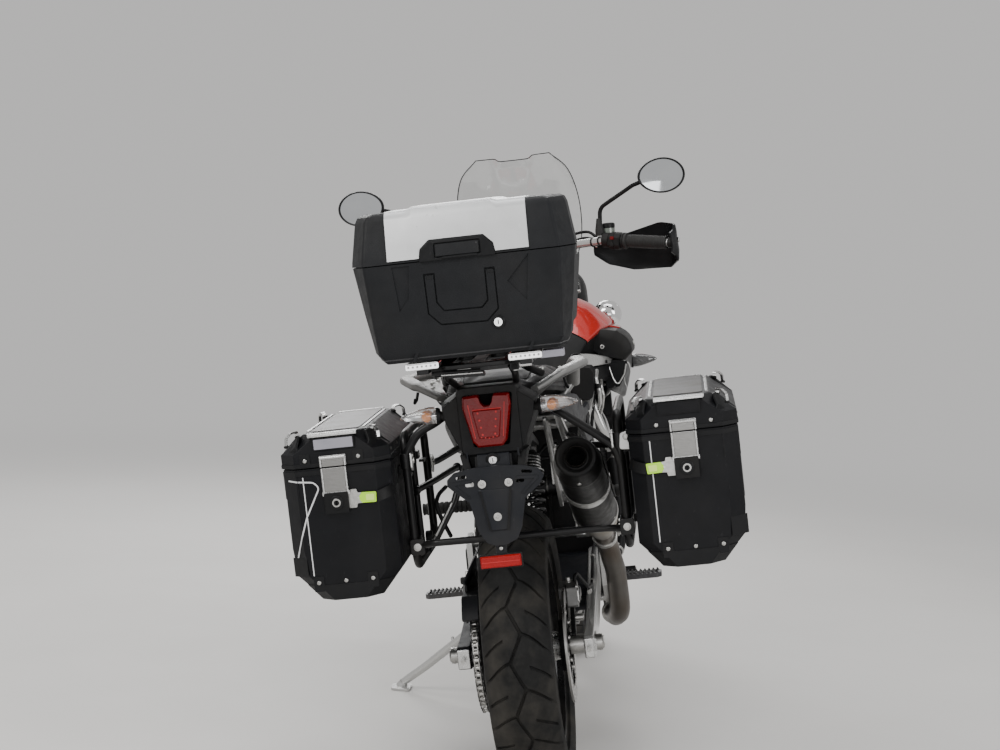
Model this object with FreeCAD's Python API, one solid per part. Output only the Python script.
import FreeCAD, Part
import math
import os

# Adventure motorcycle with a top case and two side cases, parked on its side stand.
# Every shape is drawn in the upright bike frame: +X forward, +Y left, +Z up, millimetres,
# origin on the ground under the rear axle. place() then leans it onto the side stand and
# moves the origin to the bottom centre of the whole object.

V = FreeCAD.Vector

# ---------------------------------------------------------------- driving dimensions
LEAN = 10.0                     # degrees to the left, on the side stand
WHEELBASE = 1565.0
R_REAR, W_REAR = 321.0, 150.0   # 150/70-17 tyre
R_FRONT, W_FRONT = 347.0, 92.0  # 90/90-21 tyre
CROWN_REAR, CROWN_FRONT = 90.0, 51.0
RAKE, TRAIL = 23.5, 91.0        # steering axis
YOKE_OFFSET, LEG_Y = 35.0, 105.0
PIVOT = (560.0, 405.0)          # swingarm pivot, x z
CHAIN_Y = 104.0
SPROCKET_R, CHAIN_H = 118.0, 15.0
FRONT_SPROCKET = (655.0, 400.0, 40.0)   # x, z, radius of the chain's inner line
STAND_PIVOT = (760.0, 152.0, 268.0)
STAND_FOOT = (870.0, 420.0)     # x y of the foot in the bike frame
STAND_FOLDED = (-345.0, 62.0, -6.0)     # leg direction when folded
# cases: x rear, x front, y inner, y outer, z bottom, z seam, z top
PANNIER = dict(xr=-338.0, xf=134.0, w=226.0, zb=529.0, zs=808.0, zt=878.0, t=6.0)
PANNIER_Y = {"left": 216.0, "right": -280.0}
TOPCASE = dict(xr=-500.0, xf=-92.0, y=4.0, zb=1015.0, zs=1213.0, zt=1316.0, t=6.0)
GAP = 2.0                       # lid seam gap
AXLE_END, AXLE_BORE = 142.0, 6.0        # hollow front axle: half length and bore radius

s_, c_ = math.sin(math.radians(LEAN)), math.cos(math.radians(LEAN))
SINK = CROWN_REAR * (1 - c_)
FRONT_Z = R_FRONT - (SINK - CROWN_FRONT * (1 - c_)) / c_
FRONT_X = WHEELBASE
ORIGIN = (702.0, 144.8, -SINK)      # leaned-frame point that becomes the origin

rs, rc = math.sin(math.radians(RAKE)), math.cos(math.radians(RAKE))
STEER_DIR = V(-rs, 0, rc)
STEER_FWD = V(rc, 0, rs)
STEER_GROUND = V(WHEELBASE + TRAIL, 0, 0)


def steer_at(z, fwd=0.0, y=0.0):
    """Point on the steering axis at height z, moved fwd across the axis and y sideways."""
    p = STEER_GROUND + STEER_DIR * (z / rc) + STEER_FWD * fwd
    return V(p.x, y, p.z)


# ---------------------------------------------------------------- helpers
def vv(p):
    return p if isinstance(p, FreeCAD.Vector) else V(*p)


def box(x0, x1, y0, y1, z0, z1):
    return Part.makeBox(x1 - x0, y1 - y0, z1 - z0, V(x0, y0, z0))


def rod(a, b, r):
    a, b = vv(a), vv(b)
    return Part.makeCylinder(r, (b - a).Length, a, b - a)


def cone(a, b, r1, r2):
    a, b = vv(a), vv(b)
    return Part.makeCone(r1, r2, (b - a).Length, a, b - a)


def fuse(shapes):
    shapes = list(shapes)
    if len(shapes) == 1:
        return shapes[0]
    return shapes[0].multiFuse(shapes[1:]).removeSplitter()


def group(shapes):
    return Part.makeCompound(list(shapes))


def flip(shape):
    return shape.mirror(V(0, 0, 0), V(0, 1, 0))


def poly(pts):
    pts = [vv(p) for p in pts]
    return Part.Face(Part.makePolygon(pts + [pts[0]]))


def prism_y(xz, y0, y1):
    return poly([(x, y0, z) for x, z in xz]).extrude(V(0, y1 - y0, 0))


def prism_x(yz, x0, x1):
    return poly([(x0, y, z) for y, z in yz]).extrude(V(x1 - x0, 0, 0))


def prism_z(xy, z0, z1):
    return poly([(x, y, z0) for x, y in xy]).extrude(V(0, 0, z1 - z0))


def spin(profile, centre):
    """Revolves a closed (y, r) outline about the Y axis through centre. An entry of 3 pairs is an arc's middle and end."""
    cx, cy, cz = centre
    edges, last = [], None
    first = profile[0]
    for p in profile + [first]:
        if isinstance(p[0], tuple):
            mid, end = p
            edges.append(Part.Arc(V(cx, cy + last[0], cz + last[1]), V(cx, cy + mid[0], cz + mid[1]), V(cx, cy + end[0], cz + end[1])).toShape())
            last = end
        else:
            if last is not None and (abs(last[0] - p[0]) > 1e-6 or abs(last[1] - p[1]) > 1e-6):
                edges.append(Part.LineSegment(V(cx, cy + last[0], cz + last[1]), V(cx, cy + p[0], cz + p[1])).toShape())
            last = p
    face = Part.Face(Part.Wire(edges))
    return face.revolve(V(cx, cy, cz), V(0, 1, 0), 360)


def path(points, radius):
    """Straight runs joined by tangent arcs."""
    pts = [vv(p) for p in points]
    edges, last = [], pts[0]
    for i in range(1, len(pts) - 1):
        a, b, c = pts[i - 1], pts[i], pts[i + 1]
        u, w = (a - b), (c - b)
        lu, lw = u.Length, w.Length
        u, w = u * (1 / lu), w * (1 / lw)
        turn = math.pi - math.acos(max(-1, min(1, u.dot(w))))
        if turn < 0.02:
            continue
        t = min(radius * math.tan(turn / 2), 0.45 * lu, 0.45 * lw)
        r = t / math.tan(turn / 2)
        p, q = b + u * t, b + w * t
        bis = (u + w)
        bis.normalize()
        centre = b + bis * (r / math.cos(turn / 2))
        mid = centre - bis * r
        if (p - last).Length > 1e-4:
            edges.append(Part.LineSegment(last, p).toShape())
        edges.append(Part.Arc(p, mid, q).toShape())
        last = q
    edges.append(Part.LineSegment(last, pts[-1]).toShape())
    return Part.Wire(edges)


def tube(points, r, bend=60.0):
    wire = path(points, bend)
    p0, p1 = vv(points[0]), vv(points[1])
    d = p1 - p0
    ring = Part.Wire(Part.makeCircle(r, p0, d))
    shape = wire.makePipeShell([ring], True, False)
    if not shape.isValid() or shape.Volume < 0:
        shape = fuse([rod(points[i], points[i + 1], r) for i in range(len(points) - 1)] + [Part.makeSphere(r, vv(p)) for p in points[1:-1]])
    return shape


def rsec(x, hw, zb, zt, r, y=0.0, tilt=0.0):
    """Rounded rectangle across the bike at x; tilt leans the section's top forward."""
    r = min(r, hw * 0.95, (zt - zb) * 0.475)
    k = r * (1 - math.sqrt(0.5))

    def P(yy, zz):
        return V(x + tilt * (zz - zb), y + yy, zz)

    a, b, z0, z1 = hw - r, hw, zb, zt
    e = []
    e.append(Part.LineSegment(P(-a, z0), P(a, z0)).toShape())
    e.append(Part.Arc(P(a, z0), P(hw - k, z0 + k), P(hw, z0 + r)).toShape())
    e.append(Part.LineSegment(P(hw, z0 + r), P(hw, z1 - r)).toShape())
    e.append(Part.Arc(P(hw, z1 - r), P(hw - k, z1 - k), P(a, z1)).toShape())
    e.append(Part.LineSegment(P(a, z1), P(-a, z1)).toShape())
    e.append(Part.Arc(P(-a, z1), P(-hw + k, z1 - k), P(-hw, z1 - r)).toShape())
    e.append(Part.LineSegment(P(-hw, z1 - r), P(-hw, z0 + r)).toShape())
    e.append(Part.Arc(P(-hw, z0 + r), P(-hw + k, z0 + k), P(-a, z0)).toShape())
    return Part.Wire(e)


def loft(wires):
    return Part.makeLoft(wires, True, True)


def psec(pts):
    pts = [vv(p) for p in pts]
    return Part.makePolygon(pts + [pts[0]])


# ---------------------------------------------------------------- wheels
def tyre(c, R, W, bead_r, bead_y, crown):
    sh = W / 2 - 3
    zs = R - (crown - math.sqrt(crown * crown - sh * sh))
    t = 11.0
    inner_top = R - t
    out = [
        (-bead_y, bead_r), (-bead_y, bead_r + 15), (-W / 2, bead_r + 0.45 * (zs - bead_r)), (-sh, zs),
        ((0, R), (sh, zs)),
        (W / 2, bead_r + 0.45 * (zs - bead_r)), (bead_y, bead_r + 15), (bead_y, bead_r), (bead_y - 9, bead_r),
        (bead_y - 9, bead_r + 16), (W / 2 - t, bead_r + 0.45 * (zs - bead_r)), (sh - t, zs - t * 0.6),
        ((0, inner_top), (-sh + t, zs - t * 0.6)),
        (-W / 2 + t, bead_r + 0.45 * (zs - bead_r)), (-bead_y + 9, bead_r + 16), (-bead_y + 9, bead_r),
    ]
    return spin(out, c)


def rim(c, bead_r, bead_y, drop):
    f = bead_y + 0.3
    out = [(-f - 4.5, bead_r - 8), (-f - 4.5, bead_r + 13), (-f, bead_r + 13), (-f, bead_r - 0.4), (-f + 14, bead_r - 0.4),
           (-drop, bead_r - 17), (drop, bead_r - 17), (f - 14, bead_r - 0.4), (f, bead_r - 0.4), (f, bead_r + 13), (f + 4.5, bead_r + 13),
           (f + 4.5, bead_r - 8), (f - 10, bead_r - 8), (drop + 3, bead_r - 22), (-drop - 3, bead_r - 22), (-f + 10, bead_r - 8)]
    return spin(out, c)


def hub(c, length, r, flange_r, flange_y, bore, spokes, rim_r, rim_y, spoke_r, cross):
    h = length / 2
    out = [(-h, bore), (-h, r * 0.8), (-flange_y - 4, r), (-flange_y - 3, flange_r), (-flange_y + 3, flange_r), (-flange_y + 8, r * 0.85),
           (flange_y - 8, r * 0.85), (flange_y - 3, flange_r), (flange_y + 3, flange_r), (flange_y + 4, r), (h, r * 0.8), (h, bore)]
    body = spin(out, c)
    rods = []
    cx, cy, cz = c
    for i in range(spokes):
        side = 1 if i % 2 else -1
        lead = 1 if (i // 2) % 2 else -1
        a = math.radians(360.0 / spokes * i)
        b = a + math.radians(cross) * lead
        p = V(cx + (flange_r - 5) * math.cos(b), cy + side * flange_y, cz + (flange_r - 5) * math.sin(b))
        q = V(cx + rim_r * math.cos(a), cy + side * rim_y, cz + rim_r * math.sin(a))
        rods.append(rod(p, q, spoke_r))
    return fuse([body] + rods)


REAR_C = (0.0, 0.0, R_REAR)
FRONT_C = (FRONT_X, 0.0, FRONT_Z)


def disc(c, y, r_out, r_in, t, carrier_r, hub_y):
    """Brake disc with its carrier cone down to the hub."""
    ring = spin([(y - t / 2, r_in), (y - t / 2, r_out), (y + t / 2, r_out), (y + t / 2, r_in)], c)
    web = spin([(y - t / 2, r_in + 4), (y + t / 2, r_in + 4), (hub_y + t, carrier_r), (hub_y + t, carrier_r - 14), (hub_y, carrier_r - 14), (hub_y, carrier_r)] if hub_y > y else
               [(y + t / 2, r_in + 4), (y - t / 2, r_in + 4), (hub_y - t, carrier_r), (hub_y - t, carrier_r - 14), (hub_y, carrier_r - 14), (hub_y, carrier_r)], c)
    return fuse([ring, web])


def rear_wheel():
    n = {}
    n["rear_tyre"] = tyre(REAR_C, R_REAR, W_REAR, 216.0, 54.0, CROWN_REAR)
    n["rear_rim"] = rim(REAR_C, 216.0, 54.0, 16.0)
    n["rear_hub"] = hub(REAR_C, 152.0, 36.0, 62.0, 44.0, 12.6, 36, 193.8, 10.0, 2.4, 42.0)
    # sprocket on the left, disc on the right
    n["rear_sprocket"] = fuse([
        spin([(CHAIN_Y - 3.5, 60.0), (CHAIN_Y - 3.5, SPROCKET_R - 1.5), (CHAIN_Y + 3.5, SPROCKET_R - 1.5), (CHAIN_Y + 3.5, 60.0)], REAR_C),
        spin([(76.3, 14.0), (76.3, 52.0), (CHAIN_Y - 3.5, 80.0), (CHAIN_Y + 2.0, 80.0), (CHAIN_Y + 2.0, 14.0)], REAR_C)])
    n["rear_brake_disc"] = disc(REAR_C, -92.0, 127.5, 92.0, 5.0, 50.0, -76.3)
    return n


def front_wheel():
    n = {}
    n["front_tyre"] = tyre(FRONT_C, R_FRONT, W_FRONT, 266.7, 29.0, CROWN_FRONT)
    n["front_rim"] = rim(FRONT_C, 266.7, 29.0, 9.0)
    n["front_hub"] = hub(FRONT_C, 116.0, 30.0, 48.0, 32.0, 10.6, 36, 245.0, 5.0, 2.2, 40.0)
    d = disc(FRONT_C, 70.0, 154.0, 120.0, 5.0, 46.0, 58.3)
    n["front_brake_discs"] = group([d, disc(FRONT_C, -70.0, 154.0, 120.0, 5.0, 46.0, -58.3)])
    return n


# ---------------------------------------------------------------- swingarm, chain, stand
def swingarm():
    px, pz = PIVOT
    # side outline of one arm, x z
    arm = [(px + 34, pz - 26), (px + 34, pz + 26), (px - 40, pz + 44), (300, 392), (40, 352), (-52, 346), (-52, 296), (40, 292), (300, 318), (px - 40, pz - 44)]
    left = prism_y(arm, 124, 154)
    right = prism_y(arm, -150, -127)
    slot = [(-30, 308), (-30, 334), (22, 334), (22, 308)]
    cross = prism_y([(px - 40, pz - 30), (px - 40, pz + 30), (400, 400), (352, 392), (352, 330), (400, 326)], -127.2, 124.2)
    tubep = rod((px, -127.2, pz), (px, 124.2, pz), 32)
    body = fuse([left, right, cross, tubep])
    cut = fuse([prism_y(slot, 100, 160), prism_y(slot, -160, -120), rod((px, -220, pz), (px, 220, pz), 12.3)])
    return body.cut(cut)


def chain_loop():
    """The chain as one fixed loop band round both sprockets."""
    x1, z1, r1 = 0.0, R_REAR, SPROCKET_R
    x2, z2, r2 = FRONT_SPROCKET
    d = math.hypot(x2 - x1, z2 - z1)
    base = math.atan2(z2 - z1, x2 - x1)
    g = math.acos((r1 - r2) / d)

    def outline(extra):
        a1, a2 = base + g, base - g
        P = lambda x, z, r, a: V(x + r * math.cos(a), 0, z + r * math.sin(a))
        ra, rb = r1 + extra, r2 + extra
        return Part.Wire([
            Part.LineSegment(P(x1, z1, ra, a1), P(x2, z2, rb, a1)).toShape(),
            Part.Arc(P(x2, z2, rb, a1), P(x2, z2, rb, base), P(x2, z2, rb, a2)).toShape(),
            Part.LineSegment(P(x2, z2, rb, a2), P(x1, z1, ra, a2)).toShape(),
            Part.Arc(P(x1, z1, ra, a2), P(x1, z1, ra, base + math.pi), P(x1, z1, ra, a1)).toShape()])

    outer = Part.Face(outline(CHAIN_H)).extrude(V(0, 17, 0))
    inner = Part.Face(outline(0)).extrude(V(0, 17, 0))
    s = outer.cut(inner)
    s.translate(V(0, CHAIN_Y - 8.5, 0))
    return s


def foot_point():
    x, y = STAND_FOOT
    return V(x, y, (y * s_ - SINK) / c_)


def stand_axis():
    l0 = foot_point() - V(*STAND_PIVOT)
    a = l0.cross(V(*STAND_FOLDED))
    a.normalize()
    return a


def stand_swing():
    l0 = foot_point() - V(*STAND_PIVOT)
    return round(math.degrees(l0.getAngle(V(*STAND_FOLDED))), 1)


STAND_SWING = stand_swing()


def side_stand():
    p, f, a = V(*STAND_PIVOT), foot_point(), stand_axis()
    leg_dir = f - p
    leg_dir.normalize()
    end = f + V(0, 0, 11) - leg_dir * 4
    eye = rod(p - a * 8, p + a * 8, 20).cut(rod(p - a * 9, p + a * 9, 6.2))
    leg = fuse([rod(p + leg_dir * 10, p + leg_dir * 36, 7.9), cone(p + leg_dir * 33, end, 13.5, 10.5)])
    # flat foot on the ground, turned out of the bike's lean
    pad = box(-34, 34, -26, 26, 0, 9)
    pad.Placement = FreeCAD.Placement(f, FreeCAD.Rotation(V(1, 0, 0), LEAN))
    leg = leg.cut(rod(p - a * 9, p + a * 9, 6.2))
    return fuse([eye, leg, pad])


def stand_bracket():
    """Lug and pin that carry the side stand, hung under the engine on the left."""
    p, a = V(*STAND_PIVOT), stand_axis()
    lug = rod(p + a * 8.6, p + a * 20, 20)
    pin = fuse([rod(p - a * 11, p + a * 20, 6.0), rod(p - a * 12, p - a * 8.6, 10)])
    struts = [rod(p + a * 17, V(x, 118, 322), 7) for x in (792, 738)]
    return fuse([lug, pin] + struts + [box(724, 824, 94, 140, 312, 329.7)])


# ---------------------------------------------------------------- frame and engine
def frame():
    parts = []
    head_lo, head_hi = steer_at(862), steer_at(1015)
    head = rod(head_lo, head_hi, 29)
    bore = rod(steer_at(850), steer_at(1030), 20)
    for s in (1, -1):
        runs = [
            [(1222, s * 14, 955), (1085, s * 108, 862), (900, s * 152, 800), (690, s * 142, 742), (588, s * 118, 560), (568, s * 112, 476)],
            [(1262, s * 12, 884), (1130, s * 118, 802), (1050, s * 172, 700), (960, s * 188, 640)],
        ]
        parts.append(tube(runs[0], 15, 90))
        parts.append(tube(runs[1], 13, 70))
        for a, b in (((1122, s * 123, 792), (985, s * 136, 826)), ((985, s * 136, 826), (965, s * 188, 644)), ((965, s * 188, 644), (800, s * 150, 770)), ((800, s * 150, 770), (700, s * 165, 640)), ((700, s * 165, 640), (600, s * 122, 580))):
            parts.append(rod(a, b, 9.5))
        yo = (156, 170) if s > 0 else (-166, -152)
        parts.append(prism_y([(530, 484), (600, 504), (640, 380), (618, 300), (584, 300), (530, 352)], yo[0], yo[1]))
        parts.append(rod((570, s * 100, 484), (570, yo[0] if s > 0 else yo[1], 484), 14))
    parts.append(rod((572, -160, 486), (572, 160, 486), 11))
    parts.append(rod((602, -160, 311), (602, 160, 311), 9))
    parts.append(rod((PIVOT[0], -166, PIVOT[1]), (PIVOT[0], 170, PIVOT[1]), 12.0))
    parts.append(rod((690, -142, 742), (690, 142, 742), 11))
    parts.append(prism_y([(1262, 898), (1418, 932), (1418, 942), (1262, 926)], -9, 9))
    f = fuse([head] + parts)
    return f.cut(bore)


def subframe():
    parts = []
    for s in (1, -1):
        parts.append(tube([(672, s * 128, 752), (430, s * 116, 792), (180, s * 112, 842), (-175, s * 84, 884)], 11, 120))
        parts.append(tube([(596, s * 126, 606), (420, s * 118, 690), (150, s * 112, 826)], 10, 80))
    for x, z, hw in ((430, 790, 116), (180, 840, 112), (0, 860, 98)):
        parts.append(rod((x, -hw, z), (x, hw, z), 9))
    return fuse(parts)


def engine():
    parts = [
        prism_y([(648, 318), (700, 286), (985, 286), (1022, 330), (1030, 470), (985, 560), (700, 560), (648, 500)], -150, 90),
        box(720, 1000, 89, 150, 330, 560),
        # cylinder block and head, leaning forward a little
        prism_y([(800, 540), (985, 540), (1032, 690), (1022, 772), (850, 786), (818, 700)], -138, 128),
    ]
    # clutch cover right, alternator cover left, sprocket cover left
    parts.append(rod((760, -188, 430), (760, -149, 430), 92))
    parts.append(rod((925, -176, 430), (925, -149, 430), 66))
    parts.append(rod((930, 149, 440), (930, 186, 440), 74))
    return fuse(parts)


def sump_guard():
    out = [(640, 242), (980, 236), (1095, 300), (1130, 392), (1124, 394), (1088, 304), (977, 243), (640, 249)]
    plate = prism_y(out, -78, 100)
    lips = [prism_y([(650, 243), (978, 237), (1090, 301), (1070, 318), (972, 272), (650, 272)], y, y + 5) for y in (-78, 95)]
    posts = [rod((x, y, 240), (x, y, 285.8), 7) for x in (720, 940) for y in (-70, 60)]
    return fuse([plate] + lips + posts)


def radiator():
    core = prism_y([(1147, 555), (1175, 550), (1195, 786), (1167, 791)], -168, 168)
    tanks = [prism_y([(1141, 549), (1181, 544), (1201, 792), (1161, 797)], y, y + 30) for y in (-198, 168)]
    mounts = [rod((1150, s * 174, 690), (1068, s * 174, 696), 6) for s in (1, -1)]
    return fuse([core] + tanks + mounts)


def exhaust_headers():
    parts = []
    for y in (-92, 0, 92):
        parts.append(tube([(1032.4, y, 716), (1074, y * 0.98, 700), (1080, y * 0.9, 560), (1070, y * 0.42 - 56, 404)], 19, 38))
    # collector in front of the engine, then back along the right, outside the swingarm
    parts.append(loft([rsec_at((1080, -60, 420), (0.25, 0, -1), 74, 30), rsec_at((1060, -104, 328), (-0.6, -0.3, -0.75), 56, 28)]))
    d = SIL_REAR - SIL_FRONT
    d.normalize()
    lead = SIL_FRONT - d * 110
    parts.append(tube([(1062, -106, 334), (1022, -140, 262), (860, -160, 254), (700, -162, 254), (620, -172, 258), (530, -190, 285), (482, -190, 395), (lead.x, lead.y, lead.z), (SIL_FRONT.x, SIL_FRONT.y, SIL_FRONT.z)], 25, 110))
    return parts


SIL_REAR, SIL_FRONT = V(-248, -165, 767), V(330, -176, 520)


def rsec_at(centre, normal, a, b):
    """Ellipse-like ring as a circle stretched by a table of 8 corners joined with arcs."""
    n = V(*normal)
    n.normalize()
    side = V(0, 1, 0)
    up = n.cross(side)
    up.normalize()
    side = up.cross(n)
    c = vv(centre)
    pts = [c + side * (a * math.cos(t)) + up * (b * math.sin(t)) for t in [math.radians(k * 30) for k in range(12)]]
    return Part.makePolygon(pts + [pts[0]])


def silencer():
    d = SIL_REAR - SIL_FRONT
    d.normalize()
    p = lambda t: SIL_FRONT + d * t
    L = (SIL_REAR - SIL_FRONT).Length
    body = fuse([cone(p(0.6), p(150), 26, 50), rod(p(149), p(L - 60), 50), cone(p(L - 61), p(L), 50, 42)])
    hole = rod(p(L - 55), p(L + 5), 21)
    tab = rod(p(L - 220) + V(0, 10, 40), p(L - 220) + V(0, 60, 88), 7)
    return fuse([body.cut(hole), tab])


# ---------------------------------------------------------------- body work
# tank sections: x, half width, z bottom, z top, corner radius
TANK = [(706, 96, 812, 858, 22), (740, 128, 812, 905, 40), (800, 165, 822, 972, 60), (880, 200, 850, 1022, 78), (960, 222, 868, 1043, 86), (1030, 222, 884, 1041, 80), (1100, 176, 905, 1008, 50)]
CAP = (868.0, 38.0, 1037.0)     # filler cap centre x, radius, z of its underside


def fuel_tank():
    t = loft([rsec(*row) for row in TANK])
    collar = rod((CAP[0], 0, 990), (CAP[0], 0, CAP[2] - 0.6), CAP[1] + 8)
    neck = rod((CAP[0], 0, 985), (CAP[0], 0, CAP[2] + 1), 24)
    return fuse([t, collar]).cut(neck)


def fuel_cap():
    x, r, z = CAP
    lid = rod((x, 0, z), (x, 0, z + 10), r)
    ear = box(x + r - 8, x + r + 12, -11, 11, z + 1, z + 9)
    return fuse([lid, ear])


CAP_HINGE = (CAP[0] + CAP[1] + 12.0, CAP[2] + 5.0)


def fuel_cap_with_pin():
    x, z = CAP_HINGE
    return fuse([fuel_cap(), rod((x, -11, z), (x, 11, z), 5.0)]).cut(rod((x, -12, z), (x, 12, z), 2.0))


def cap_hinge():
    x, z = CAP_HINGE
    return fuse([rod((x, -17, z), (x, 17, z), 1.95)] + [prism_y([(x - 5, z - 24), (x + 6, z - 24), (x + 5, z + 4), (x - 5, z + 4)], y, y + 4) for y in (-17, 13)])


# shroud outline on one side: x, z, y outer
def side_shroud(s):
    # x, z low, z high, y inner, y outer
    secs = [(868, 806, 906, 196, 224), (960, 776, 930, 229, 262), (1060, 756, 934, 229, 279), (1150, 764, 926, 220, 276), (1236, 800, 900, 192, 238)]
    wires = [psec([(x, s * yi, zl), (x, s * (yo - 26), zl + 8), (x, s * yo, zl + 0.7 * (zh - zl)), (x, s * (yo - 20), zh), (x, s * yi, zh - 8)]) for x, zl, zh, yi, yo in secs]
    return loft(wires)


def seat_rider():
    rows = [(312, 142, 831, 884, 24), (400, 146, 815, 860, 22), (520, 140, 796, 848, 24), (640, 112, 780, 850, 26), (700, 84, 784, 864, 22)]
    return loft([rsec(*r) for r in rows])


def seat_pillion():
    rows = [(-86, 92, 896, 926, 16), (-40, 116, 892, 938, 22), (120, 132, 874, 934, 26), (260, 138, 858, 922, 26), (309, 134, 852, 906, 24)]
    return loft([rsec(*r) for r in rows])


def side_panel(s):
    """Panel under the seat, from the tank to the tail."""
    wires = [psec([(x, s * yi, zl), (x, s * yo, zl + 6), (x, s * (yo - 2), zh), (x, s * (yi), zh)]) for x, zl, zh, yi, yo in
             ((660, 700, 792, 148, 162), (480, 716, 796, 146, 160), (300, 770, 846, 144, 156), (100, 812, 868, 128, 140), (-60, 842, 884, 110, 120))]
    return loft(wires)


def tail_housing():
    sec = [(-322, 62, 800, 936, 14), (-240, 70, 804, 938, 16), (-120, 66, 812, 886, 14), (-20, 60, 812, 858, 10)]
    body = loft([rsec(*r) for r in sec])
    pocket = prism_x([(-51, 921), (51, 921), (35, 817), (-35, 817)], -330, -296)
    lower = loft([rsec(-300, 58, 752, 802, 12), rsec(-200, 60, 776, 812, 12)])
    # inner mudguard running forward over the tyre
    guard = prism_y([(-300, 770), (-286, 770), (-180, 786), (-40, 790), (120, 760), (124, 768), (-40, 812), (-180, 812), (-296, 800)], -64, 64)
    return fuse([body, lower, guard]).cut(pocket)


def tail_lamp():
    return loft([psec([(x, -w1, 917), (x, w1, 917), (x, w0, 821), (x, -w0, 821)]) for x, w1, w0 in ((-297, 47, 31), (-322, 49, 33), (-334, 44, 29))])


def plate_bracket():
    arm = prism_y([(-300.5, 756), (-300.5, 799), (-322, 799), (-338, 770), (-353, 640), (-341, 640), (-326, 742)], -34, 34)
    plate = prism_x([(-102, 750), (-92, 764), (-60, 772), (60, 774), (90, 768), (98, 754), (96, 738), (56, 704), (40, 640), (24, 622), (-24, 622), (-42, 640), (-58, 702), (-100, 734)], -360, -351)
    stem = box(-353, -345, -10, 14, 570, 640)
    refl = box(-364, -353, -38, 48, 566, 592)
    return fuse([arm, plate, stem, refl])


def indicators():
    out = []
    for x, z, y0, y1, s, sign in ((-300, 886, 106, 186, 1, -1), (-300, 886, 106, 186, -1, -1), (1205, 838, 262, 330, 1, 1), (1205, 838, 262, 330, -1, 1)):
        lens = loft([psec([(x - 15 * sign, s * y0, z - 17), (x - 15 * sign, s * y0, z + 17), (x + 17 * sign, s * y0, z + 14), (x + 17 * sign, s * y0, z - 14)]),
                     psec([(x - 9 * sign, s * y1, z - 5), (x - 9 * sign, s * y1, z + 5), (x + 8 * sign, s * y1, z + 4), (x + 8 * sign, s * y1, z - 4)])])
        root = 69 if sign < 0 else 251
        stalk = rod((x, s * root, z - 2), (x, s * (y0 + 1), z), 8)
        out.append(fuse([lens, stalk]))
    return group(out)


def grab_rails():
    out = []
    for s in (1, -1):
        rail = tube([(-286, s * 98, 920), (-206, s * 152, 942), (-92, s * 191, 950), (60, s * 172, 946), (170, s * 158, 928), (226, s * 150, 880)], 11, 70)
        feet = [rod((-226, s * 138, 937), (-190, s * 88, 900), 8), rod((226, s * 150, 882), (200, s * 118, 850), 9)]
        out.append(fuse([rail] + feet))
    return out


def case_carrier():
    plate = prism_z([(-420, 70), (-420, -54), (-380, -112), (-150, -118), (-80, -70), (-80, 86), (-150, 134), (-380, 128)], 986, 996)
    posts = [rod((x, y, 940), (x, y, 988), 9) for x, y in ((-250, 52), (-250, -40))]
    rails = [box(-390, -130, y - 9, y + 9, 972, 987) for y in (-70, 86)]
    legs = [tube([(-180, s * 60 + 8, 980), (-150, s * 90 + 8, 955), (-110, s * 104, 938)], 8, 20) for s in (1, -1)]
    blocks = [box(-476, -416, y - 30, y + 30, 996, 1012) for y in (108, -92)] + [box(-170, -110, y - 30, y + 30, 996, 1012) for y in (90, -74)]
    tongues = [box(-450, -400, y - 12, y + 12, 988, 997) for y in (96, -80)]
    return fuse([plate] + rails + legs + blocks + tongues)


# ---------------------------------------------------------------- cases
def shell(outer, inner):
    return outer.cut(inner)


def chamfer_box(x0, x1, yz, cx):
    """Extrudes a (y, z) outline along X and cuts its upright corners at cx."""
    body = prism_x(yz, x0, x1)
    ys = [p[0] for p in yz]
    zs = [p[1] for p in yz]
    y0, y1, z0, z1 = min(ys), max(ys), min(zs), max(zs)
    plan = prism_z([(x0 + cx, y0), (x1 - cx, y0), (x1, y0 + cx), (x1, y1 - cx), (x1 - cx, y1), (x0 + cx, y1), (x0, y1 - cx), (x0, y0 + cx)], z0 - 1, z1 + 1)
    return body.common(plan)


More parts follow.
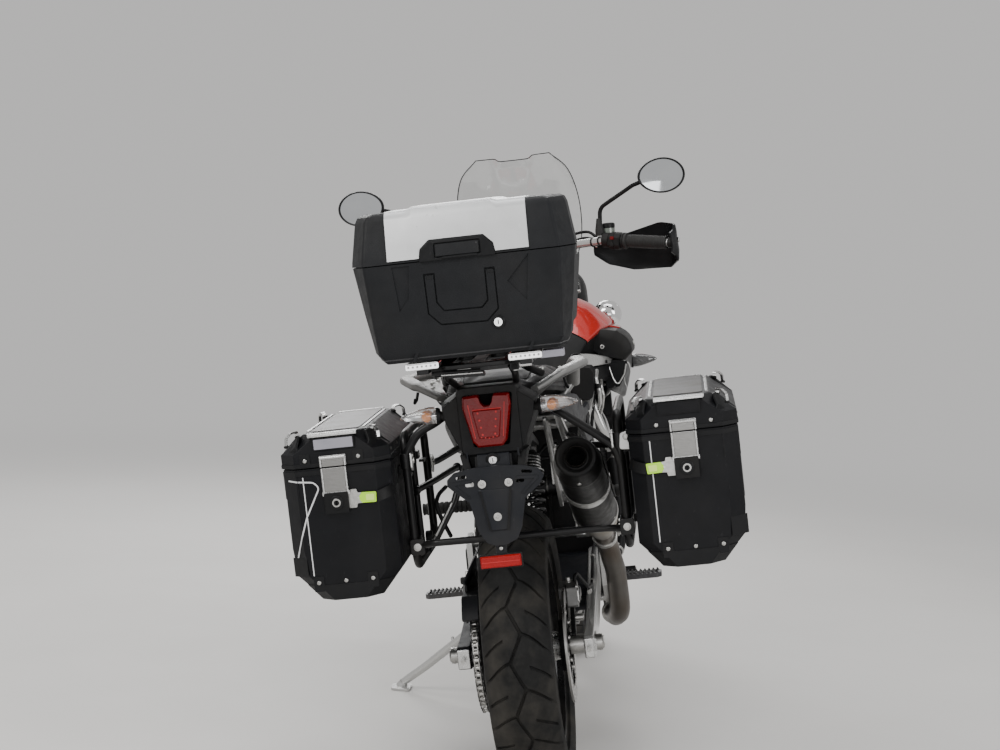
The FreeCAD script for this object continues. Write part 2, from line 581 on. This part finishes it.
def pannier(side):
    P = PANNIER
    yi = PANNIER_Y[side]
    s = 1 if yi > 0 else -1
    a, w, t = abs(yi), P["w"], P["t"]
    zs = P["zs"] - GAP / 2
    Y = lambda v: s * (a + v)
    out = [(Y(0), P["zb"] + 52), (Y(48), P["zb"]), (Y(w - 56), P["zb"]), (Y(w - 6), P["zb"] + 52), (Y(w), P["zb"] + 110), (Y(w), zs), (Y(0), zs)]
    ins = [(Y(t), P["zb"] + 52 + t), (Y(48 + t * 0.4), P["zb"] + t), (Y(w - 56 - t * 0.4), P["zb"] + t), (Y(w - 6 - t), P["zb"] + 52 + t), (Y(w - t), P["zb"] + 110), (Y(w - t), zs + 5), (Y(t), zs + 5)]
    body = chamfer_box(P["xr"], P["xf"], out, 30).cut(chamfer_box(P["xr"] + t, P["xf"] - t, ins, 28))
    zl = P["zs"] + GAP / 2
    lo = [(Y(-2), zl), (Y(-2), P["zt"] - 40), (Y(46), P["zt"]), (Y(w - 50), P["zt"]), (Y(w + 2), P["zt"] - 40), (Y(w + 2), zl)]
    li = [(Y(t - 2), zl - 5), (Y(t - 2), P["zt"] - 40), (Y(46), P["zt"] - t), (Y(w - 50), P["zt"] - t), (Y(w + 2 - t), P["zt"] - 40), (Y(w + 2 - t), zl - 5)]
    lid = chamfer_box(P["xr"] - 2, P["xf"] + 2, lo, 32).cut(chamfer_box(P["xr"] - 2 + t, P["xf"] + 2 - t, li, 30))
    # hinge barrels along the front edge, pin through them
    hx, hz = P["xf"] + 12, P["zs"]
    y0, y1 = Y(40), Y(w - 40)
    m0, m1 = Y(80), Y(w - 80)
    lid_knuckle = fuse([rod((hx, m0, hz), (hx, m1, hz), 7), box(P["xf"] - 3, hx, min(m0, m1), max(m0, m1), zl + 0.5, hz + 7)]).cut(rod((hx, y0, hz), (hx, y1, hz), 3.05))
    body_knuckles = []
    for p, q in ((y0, m0 - 0.8 * s), (m1 + 0.8 * s, y1)):
        body_knuckles.append(fuse([rod((hx, p, hz), (hx, q, hz), 7), box(P["xf"] - 3, hx, min(p, q), max(p, q), hz - 7, zs - 0.5)]))
    pin = rod((hx, y0, hz), (hx, y1, hz), 3.0)
    # hook blocks on the inner wall that hang on the rack
    hooks = [box(x - 16, x + 16, min(Y(-13.7), Y(0.5)), max(Y(-13.7), Y(0.5)), z - 9, z + 9) for x, z in ((-190, 770), (70, 770), (-60, 600))]
    # latch plate and lock at the rear
    lc = Y(115)
    latch = fuse([box(P["xr"] - 6, P["xr"] + 1, lc - 27, lc + 27, 758, zs), box(P["xr"] - 16, P["xr"] + 1, lc - 27, lc + 27, 706, 758)])
    body = fuse([body, latch] + body_knuckles + [pin] + hooks)
    lid_latch = box(P["xr"] - 9, P["xr"] - 1, lc - 29, lc + 29, zl, zl + 34)
    lid = fuse([lid, lid_knuckle, lid_latch])
    return body, lid


def case_ring(z, hr, hm, hf, xr, xf, inset=0.0):
    """Plan outline of the top case at height z: half widths at the rear face, the widest place and the front."""
    y, k = TOPCASE["y"], inset
    half = [(xr + k, hr - k), (xr + 64, hm - k), (xr + 150, hm - k), (xf - 26, hf + 4 - k), (xf - k, hf - 22 - k)]
    return psec([(x, y + h, z) for x, h in half] + [(x, y - h, z) for x, h in half[::-1]])


def top_case():
    T = TOPCASE
    t, y, xr, xf = T["t"], T["y"], T["xr"], T["xf"]
    zs, zl = T["zs"] - GAP / 2, T["zs"] + GAP / 2
    # z, half width rear, widest, front, x rear, x front
    shell_rows = [(T["zb"], 172, 186, 168, xr + 18, xf - 10), (T["zb"] + 22, 184, 198, 178, xr + 4, xf), (zs, 196, 225, 192, xr, xf)]
    lid_rows = [(zl, 197, 226, 193, xr - 1, xf + 1), (T["zt"] - 16, 186, 214, 184, xr + 24, xf - 6), (T["zt"], 168, 196, 168, xr + 44, xf - 22)]
    outer = loft([case_ring(*row) for row in shell_rows])
    inner_rows = [(T["zb"] + t,) + shell_rows[0][1:], shell_rows[1], (zs + 5,) + shell_rows[2][1:]]
    body = outer.cut(loft([case_ring(*row, inset=t) for row in inner_rows]))
    lid = loft([case_ring(*row) for row in lid_rows])
    under_rows = [(zl - 5,) + lid_rows[0][1:], (T["zt"] - 18,) + lid_rows[1][1:], (T["zt"] - t,) + lid_rows[2][1:]]
    lid = lid.cut(loft([case_ring(*row, inset=t) for row in under_rows]))
    hx, hz = xf + 13, T["zs"]
    lid_knuckle = fuse([rod((hx, y - 90, hz), (hx, y + 90, hz), 7), box(xf - 3, hx, y - 90, y + 90, zl + 0.5, hz + 7)]).cut(rod((hx, y - 150, hz), (hx, y + 150, hz), 3.05))
    knuckles = [fuse([rod((hx, y + a, hz), (hx, y + b, hz), 7), box(xf - 4, hx, y + a, y + b, hz - 7, zs - 0.5)]) for a, b in ((-140, -91), (91, 140))]
    pin = rod((hx, y - 140, hz), (hx, y + 140, hz), 3.0)
    latch = box(xr - 8, xr + 2.5, y - 34, y + 34, zs - 24, zs - 0.5)
    feet = [box(x0, x1, y + c - 26, y + c + 26, 1012.3, T["zb"] + 1) for x0, x1, c in ((-440, -416, 100), (-440, -416, -100), (-168, -112, 82), (-168, -112, -82))]
    lid_latch = box(xr - 8, xr + 4.5, y - 36, y + 36, zl, zl + 22)
    return fuse([body, latch, pin] + knuckles + feet), fuse([lid, lid_knuckle, lid_latch])


def pannier_rack():
    parts = []
    # arm from the tail to each loop, at the rear
    arms = {"left": [(-190, 92, 888), (-236, 112, 870), (-240, 160, 850), (-240, 192, 806), (-238, 193, 770)],
            "right": [(-190, -92, 888), (-236, -130, 872), (-240, -206, 813), (-240, -249, 778), (-238, -257, 740)]}
    for side, yi in PANNIER_Y.items():
        s = 1 if yi > 0 else -1
        y = yi - s * 23
        loop = [(-90, y, 846), (-226, y, 846), (-238, y, 800), (-238, y, 590), (-214, y, 566), (90, y, 566), (118, y, 600), (118, y, 800), (96, y, 846), (-92, y, 846)]
        parts.append(tube(loop, 9, 26))
        parts.append(tube(arms[side], 9, 60))
        parts.append(tube([(118, y, 740), (160, s * 172, 742), (272, s * 126.5, 756)], 8, 30))
        parts.append(rod((-120, y, 574), (-120, y, 838), 7))
    yl, yr = PANNIER_Y["left"] - 23, PANNIER_Y["right"] + 23
    parts.append(tube([(-238, yl, 610), (-262, yl - 46, 616), (-262, yr + 46, 612), (-238, yr, 604)], 7.5, 24))
    return fuse(parts)


# ---------------------------------------------------------------- front end on the chassis
def front_cowl():
    # x at the bottom, half width, z bottom, z top, corner radius, lean of the section
    secs = [(1392, 128, 948, 1096, 40, -0.43), (1424, 150, 905, 1097, 50, -0.16), (1462, 148, 892, 1062, 50, -0.1), (1488, 118, 886, 1012, 40, -0.05), (1506, 76, 890, 962, 26, 0)]
    hollow = [(1386, 112, 962, 1084, 32, -0.43), (1424, 136, 919, 1086, 42, -0.2), (1448, 130, 908, 1052, 44, -0.15)]
    body = loft([rsec(x, hw, zb, zt, r, 0, k) for x, hw, zb, zt, r, k in secs])
    inside = loft([rsec(x, hw, zb, zt, r, 0, k) for x, hw, zb, zt, r, k in hollow])
    lamps = fuse([rod((1428, s * 63, 972), (1560, s * 63, 962), 50) for s in (1, -1)])
    beak = loft([psec([(x, -w, z), (x, w, z), (x, w * 0.7, z + h), (x, -w * 0.7, z + h)]) for x, w, z, h in ((1428, 104, 858, 60), (1510, 92, 840, 60), (1614, 66, 812, 34), (1700, 30, 788, 16))])
    posts = [rod((1368, s * 62, 1084), (1368, s * 62, 1112), 5) for s in (1, -1)]
    return fuse([body.cut(inside), beak] + posts).cut(lamps)


def headlamps():
    out = [rod((1430, s * 63, 971.5), (1486, s * 63, 967), 48) for s in (1, -1)]
    for s in (1, -1):   # auxiliary lamps beside the radiator
        out.append(fuse([cone((1124, s * 212, 975), (1148, s * 212, 975), 26, 38), rod((1147, s * 212, 975), (1192, s * 212, 975), 38), rod((1160, s * 216, 942), (1160, s * 231, 921), 7)]))
    return group(out)


def windscreen():
    # rows: z, x at centre, x at edge, half width
    rows = [(1102, 1402, 1334, 128), (1190, 1372, 1286, 160), (1290, 1322, 1230, 166), (1375, 1276, 1196, 146), (1424, 1250, 1206, 100)]
    wires = []
    for z, xc, xe, w in rows:
        a, m, b = V(xe, -w, z), V(xc, 0, z), V(xe, w, z)
        back = V(-4.5, 0, 0)
        wires.append(Part.Wire([Part.Arc(a, m, b).toShape(), Part.LineSegment(b, b + back).toShape(), Part.Arc(b + back, m + back, a + back).toShape(), Part.LineSegment(a + back, a).toShape()]))
    return loft(wires)


def dashboard():
    panel = prism_y([(1248, 1114), (1286, 1118), (1252, 1198), (1222, 1192)], -92, 92)
    arm = prism_y([(1270, 1118), (1284, 1108), (1325, 1086), (1325, 1100), (1288, 1128)], -14, 14)
    return fuse([panel, arm])


def shock():
    lo, hi = V(470, 0, 440), V(590, 0, 700)
    d = hi - lo
    d.normalize()
    return fuse([rod(lo, hi, 12), rod(lo + d * 50, hi - d * 60, 37), rod(hi - d * 62, hi - d * 18, 30), rod((470, -22, 440), (470, 22, 440), 14), rod((590, -22, 700), (590, 22, 700), 14)])


def footrests():
    out = []
    for s in (1, -1):
        yi = 171.5 if s > 0 else 167.5
        hang = prism_y([(572, 336), (616, 318), (668, 346), (664, 372), (618, 400), (566, 392)], s * yi, s * (yi + 9))
        peg = loft([psec([(640 + dx, s * y, 343 + dz) for dx, dz in ((-24, 0), (24, 0), (27, 16), (-27, 16))]) for y in (yi + 26, 296)])
        knuck = rod((640, s * (yi + 8), 350), (640, s * (yi + 30), 350), 13)
        out.append(fuse([hang, knuck, peg]))
        # pillion hanger and peg
        hang2 = prism_y([(60, 826), (170, 812), (380, 625), (384, 590), (350, 580), (300, 610), (110, 776)], s * 82, s * 90)
        out.append(fuse([hang2, rod((362, s * 84, 603), (362, s * 244, 605), 14)]))
    return group(out)


def rear_caliper():
    body = box(26, 96, -118, -78, 396, 446).cut(spin([(-96.5, 40), (-96.5, 134), (-87.5, 134), (-87.5, 102), (-70, 102), (-70, 40)], REAR_C))
    arm = prism_y([(-14, 345), (30, 345), (60, 398), (36, 398)], -109.5, -99.5)
    link = rod((44, -127.0, 372), (44, -99.5, 372), 8)
    return fuse([body, arm, link])


def rear_axle():
    return fuse([rod((0, -160, R_REAR), (0, 168, R_REAR), 12.0), rod((0, -166, R_REAR), (0, -150.2, R_REAR), 18), rod((0, 154.2, R_REAR), (0, 172, R_REAR), 18),
                 rod((0, -126.8, R_REAR), (0, -94.6, R_REAR), 22), rod((0, 106.6, R_REAR), (0, 123.8, R_REAR), 22)])


def chain_guard():
    outer = prism_y([(-120, 470), (-160, 430), (-148, 424), (-108, 456), (330, 462), (330, 468)], 84, 122)
    stay = fuse([rod((300, 126, 391), (300, 118, 464), 6), rod((20, 126, 350), (20, 118, 460), 6)])
    return fuse([outer, stay])


# ---------------------------------------------------------------- fork body
def fork_legs():
    out = []
    for s in (1, -1):
        y = s * LEG_Y
        L = lambda z: steer_at(z, YOKE_OFFSET, y)
        outer = rod(L(620), L(1058), 27)
        inner = rod(L(395), L(621), 22.5)
        cap = rod(L(1058), L(1066), 17)
        lug = fuse([rod(L(330), L(396), 26), rod((FRONT_X, s * 82, FRONT_Z), (FRONT_X, s * 126, FRONT_Z), 24)])
        leg = fuse([outer, inner, cap, lug]).cut(rod((FRONT_X, -140, FRONT_Z), (FRONT_X, 140, FRONT_Z), 10.0))
        out.append(leg)
    return group(out)


def yokes():
    out = []
    for z, t, rr in ((1040, 26, 0), (838, 34, 0)):
        c = steer_at(z)
        half = [(-36, 30), (-4, 78), (10, LEG_Y + 26), (YOKE_OFFSET + 22, LEG_Y + 20), (YOKE_OFFSET + 10, 40)]
        body = prism_z([(f, -y) for f, y in half] + [(f, y) for f, y in half[::-1]], -t / 2, t / 2)
        ends = [Part.makeCylinder(39, t, V(YOKE_OFFSET, s * LEG_Y, -t / 2)) for s in (1, -1)]
        part = fuse([body] + ends).cut(fuse([Part.makeCylinder(27.1, t + 4, V(YOKE_OFFSET, s * LEG_Y, -t / 2 - 2)) for s in (1, -1)]))
        part.Placement = FreeCAD.Placement(c, FreeCAD.Rotation(V(0, 1, 0), -RAKE))
        out.append(part)
    stem = rod(steer_at(826), steer_at(1060), 18)
    risers = [rod(steer_at(1050, 6, s * 44), V(1157, s * 44, 1116), 16) for s in (1, -1)]
    return fuse(out + [stem] + risers)


BAR = [(1152, 0, 1128), (1152, 70, 1128), (1104, 152, 1172), (1050, 235, 1176), (984, 396, 1154)]


def handlebar():
    pts = [(x, -y, z) for x, y, z in BAR[::-1]] + BAR[1:]
    bar = tube(pts, 11.1, 60)
    clamps = [rod((1152, s * 44 - 14, 1128), (1152, s * 44 + 14, 1128), 19) for s in (1, -1)]
    return bar


def along_bar(t):
    a, b = V(*BAR[3]), V(*BAR[4])
    return a + (b - a) * t


def hand_controls():
    out = []
    for s in (1, -1):
        m = (lambda p: p) if s > 0 else (lambda p: V(p.x, -p.y, p.z))
        bore = rod(m(along_bar(-0.35)), m(along_bar(1.2)), 11.2)
        grip = rod(m(along_bar(0.30)), m(along_bar(0.97)), 16.5)
        box_ = rod(m(along_bar(0.02)), m(along_bar(0.22)), 21)
        lever_root = m(along_bar(0.12) + V(28, 6, 0))
        lever_mid = m(along_bar(0.30) + V(52, 10, 0))
        lever = fuse([rod(lever_root, lever_mid, 5.5), Part.makeSphere(5.5, lever_mid), rod(lever_mid, m(along_bar(0.85) + V(48, 10, -6)), 5.5)])
        stem = rod(m(along_bar(0.12) + V(6, 2, 0)), m(along_bar(0.12) + V(30, 8, 0)), 10)
        pot = rod(m(along_bar(0.03) + V(30, 0, 6)), m(along_bar(0.03) + V(34, 0, 44)), 19) if s < 0 else rod(m(along_bar(0.04) + V(21, -3, 5)), m(along_bar(0.04) + V(23, -3, 31)), 13)
        link = rod(m(along_bar(0.06)), m(along_bar(0.04) + V(32, 0, 10)), 8)
        out.append(fuse([box_, stem, lever, pot, link, grip, rod(m(along_bar(0.2)), m(along_bar(0.32)), 14)]).cut(bore))
    return group(out)


def handguards():
    out = []
    plan_out = [(1098, 196), (1118, 262), (1110, 345), (1072, 406), (1006, 421), (966, 406)]
    plan_in = [(970, 401), (1008, 414), (1067, 400), (1103, 342), (1111, 264), (1093, 199)]
    wall = prism_z([(x, y) for x, y in plan_out + plan_in], 1060, 1240)
    side = prism_x([(190, 1138), (196, 1170), (290, 1186), (380, 1206), (430, 1196), (430, 1118), (400, 1088), (300, 1090), (230, 1112)], 900, 1160)
    g = wall.common(side)
    # bar end fixing
    end = rod(along_bar(1.001), along_bar(1.07), 13)
    stay = rod(V(1099, 186, 1170), V(1098, 203, 1161), 6)
    g = fuse([g, end, stay])
    return group([g, flip(g)])


MIRROR = V(984, 396, 1330)


def mirrors():
    out = []
    for s in (1, -1):
        m = (lambda p: V(*p)) if s > 0 else (lambda p: V(p[0], -p[1], p[2]))
        base = along_bar(-0.1)
        stem = tube([m((base.x + 4, base.y, base.z + 11.5)), m((base.x + 8, base.y + 6, 1262)), m((1014, 318, 1312)), m((1000, 345, 1322))], 6, 24)
        boot = rod(m((base.x + 4, base.y, base.z + 11.3)), m((base.x + 5, base.y + 2, base.z + 44)), 11)
        # oval head, thin, facing back
        head = Part.makeCylinder(46, 20, V(0, 0, 0), V(1, 0, 0))
        mat = FreeCAD.Matrix()
        mat.scale(1.0, 1.33, 1.0)
        head = head.transformGeometry(mat)
        head.Placement = FreeCAD.Placement(m((MIRROR.x, MIRROR.y, MIRROR.z)), FreeCAD.Rotation(V(0, 0, 1), -8 * s))
        out.append(fuse([stem, boot, head]))
    return group(out)


def front_mudguard():
    x, z = FRONT_X, FRONT_Z

    def arc_band(r0, r1, a0, a1, n=8):
        o = [(x + r1 * math.cos(math.radians(a0 + (a1 - a0) * i / n)), z + r1 * math.sin(math.radians(a0 + (a1 - a0) * i / n))) for i in range(n + 1)]
        i_ = [(x + r0 * math.cos(math.radians(a1 - (a1 - a0) * i / n)), z + r0 * math.sin(math.radians(a1 - (a1 - a0) * i / n))) for i in range(n + 1)]
        return o + i_

    top = prism_y(arc_band(362, 367, 34, 172), -54, 54)
    sides = [prism_y(arc_band(318, 366, 62, 150), y, y + 4) for y in (-58, 54)]
    arms = []
    for s in (1, -1):
        c = steer_at(600, YOKE_OFFSET, 0)
        y0, y1 = (57, 77.7) if s > 0 else (-77.7, -57)
        arms.append(box(c.x - 16, c.x + 18, y0, y1, 625, 650))
    return fuse([top] + sides + arms)


def front_calipers():
    out = []
    for s in (1, -1):
        # behind each leg, over the disc's rear edge
        ang = math.radians(152)
        cx, cz = FRONT_X + 128 * math.cos(ang), FRONT_Z + 128 * math.sin(ang)
        b = box(-34, 34, 57, 82, -46, 46)
        b.Placement = FreeCAD.Placement(V(cx, 0, cz), FreeCAD.Rotation(V(0, 1, 0), -62 + 90))
        b = b.cut(spin([(50.0, 40), (50.0, 128), (65.0, 128), (65.0, 160), (75.0, 160), (75.0, 40)], FRONT_C))
        arm = rod((cx + 14, 78.5, cz + 4), (cx + 44, 84, cz - 4), 7)
        c = fuse([b, arm])
        out.append(c if s > 0 else flip(c))
    return group(out)


def front_axle():
    x, z = FRONT_X, FRONT_Z
    a = fuse([rod((x, -AXLE_END, z), (x, AXLE_END, z), 9.95)] + [rod((x, s * 131.2, z), (x, s * AXLE_END, z), 16) for s in (1, -1)] + [rod((x, s * 60.9, z), (x, s * 78.8, z), 17) for s in (1, -1)])
    return a.cut(rod((x, -150, z), (x, 150, z), AXLE_BORE))


# ---------------------------------------------------------------- assembly
def build():
    n = {}
    n.update(rear_wheel())
    n.update(front_wheel())
    n["swingarm"] = swingarm()
    n["chain"] = chain_loop()
    n["chain_guard"] = chain_guard()
    n["side_stand"] = side_stand()
    n["stand_bracket"] = stand_bracket()
    n["frame"] = frame()
    n["subframe"] = subframe()
    n["engine"] = engine()
    n["sump_guard"] = sump_guard()
    n["radiator"] = radiator()
    n["exhaust_headers"] = fuse(exhaust_headers()).cut(n["engine"])
    n["silencer"] = silencer()
    n["fuel_tank"] = fuse([fuel_tank(), cap_hinge()])
    n["fuel_cap"] = fuel_cap_with_pin()
    n["tank_shrouds"] = group([side_shroud(1), side_shroud(-1)])
    n["rider_seat"] = seat_rider()
    n["pillion_seat"] = seat_pillion()
    n["side_panels"] = group([side_panel(1), side_panel(-1)])
    n["tail_housing"] = tail_housing()
    n["tail_lamp"] = tail_lamp()
    n["plate_bracket"] = plate_bracket()
    n["indicators"] = indicators()
    n["grab_rails"] = group(grab_rails())
    n["case_carrier"] = case_carrier()
    n["top_case"], n["top_case_lid"] = top_case()
    n["left_pannier"], n["left_pannier_lid"] = pannier("left")
    n["right_pannier"], n["right_pannier_lid"] = pannier("right")
    n["pannier_rack"] = pannier_rack()
    n["front_cowl"] = front_cowl()
    n["headlamps"] = headlamps()
    n["windscreen"] = windscreen()
    n["dashboard"] = dashboard()
    n["rear_shock"] = shock()
    n["footrests"] = footrests()
    n["rear_caliper"] = rear_caliper()
    n["rear_axle"] = rear_axle()
    n["fork_legs"] = fork_legs()
    n["yokes"] = yokes()
    n["handlebar"] = handlebar()
    n["hand_controls"] = hand_controls()
    n["handguards"] = handguards()
    n["mirrors"] = mirrors()
    n["front_mudguard"] = front_mudguard()
    n["front_calipers"] = front_calipers()
    n["front_axle"] = front_axle()
    # small trims where one piece seats on another of the same body
    for node, other in (("front_cowl", "frame"), ("hand_controls", "mirrors"), ("hand_controls", "handlebar"), ("handguards", "handlebar"),
                        ("grab_rails", "pillion_seat"), ("grab_rails", "subframe"), ("pannier_rack", "grab_rails"), ("pannier_rack", "subframe"),
                        ("subframe", "frame"), ("frame", "engine"), ("side_panels", "frame"), ("sump_guard", "exhaust_headers"),
                        ("chain_guard", "swingarm"), ("rear_hub", "rear_rim"), ("front_hub", "front_rim")):
        n[node] = n[node].cut(n[other])
    return n


def lean_placement():
    turn = FreeCAD.Rotation(V(1, 0, 0), -LEAN)
    return FreeCAD.Placement(V(-ORIGIN[0], -ORIGIN[1], -ORIGIN[2]), turn)


def main():
    os.makedirs("parts", exist_ok=True)
    for old in os.listdir("parts"):
        if old.endswith(".step"):
            os.remove(os.path.join("parts", old))
    nodes = build()
    place = lean_placement()
    box_all = None
    for name, shape in nodes.items():
        bad = [s for s in shape.Solids if not s.isValid() or s.Volume <= 0]
        shape = shape.copy()
        shape.Placement = place.multiply(shape.Placement)
        b = shape.optimalBoundingBox(False, False)
        box_all = b if box_all is None else box_all.united(b)
        print(name, "solids", len(shape.Solids), "litres", round(shape.Volume / 1e6, 3), "BAD" if bad or not shape.Solids else "")
        if len(shape.Solids) == 1:
            shape = shape.Solids[0]
        else:
            shape = Part.makeCompound(shape.Solids)
        shape.exportStep(os.path.join("parts", name + ".step"))
    b = box_all
    print("box x", round(b.XMin, 2), round(b.XMax, 2), "y", round(b.YMin, 2), round(b.YMax, 2), "z", round(b.ZMin, 2), round(b.ZMax, 2))
    print("centre", round((b.XMin + b.XMax) / 2, 3), round((b.YMin + b.YMax) / 2, 3))


if __name__ == "__main__":
    main()
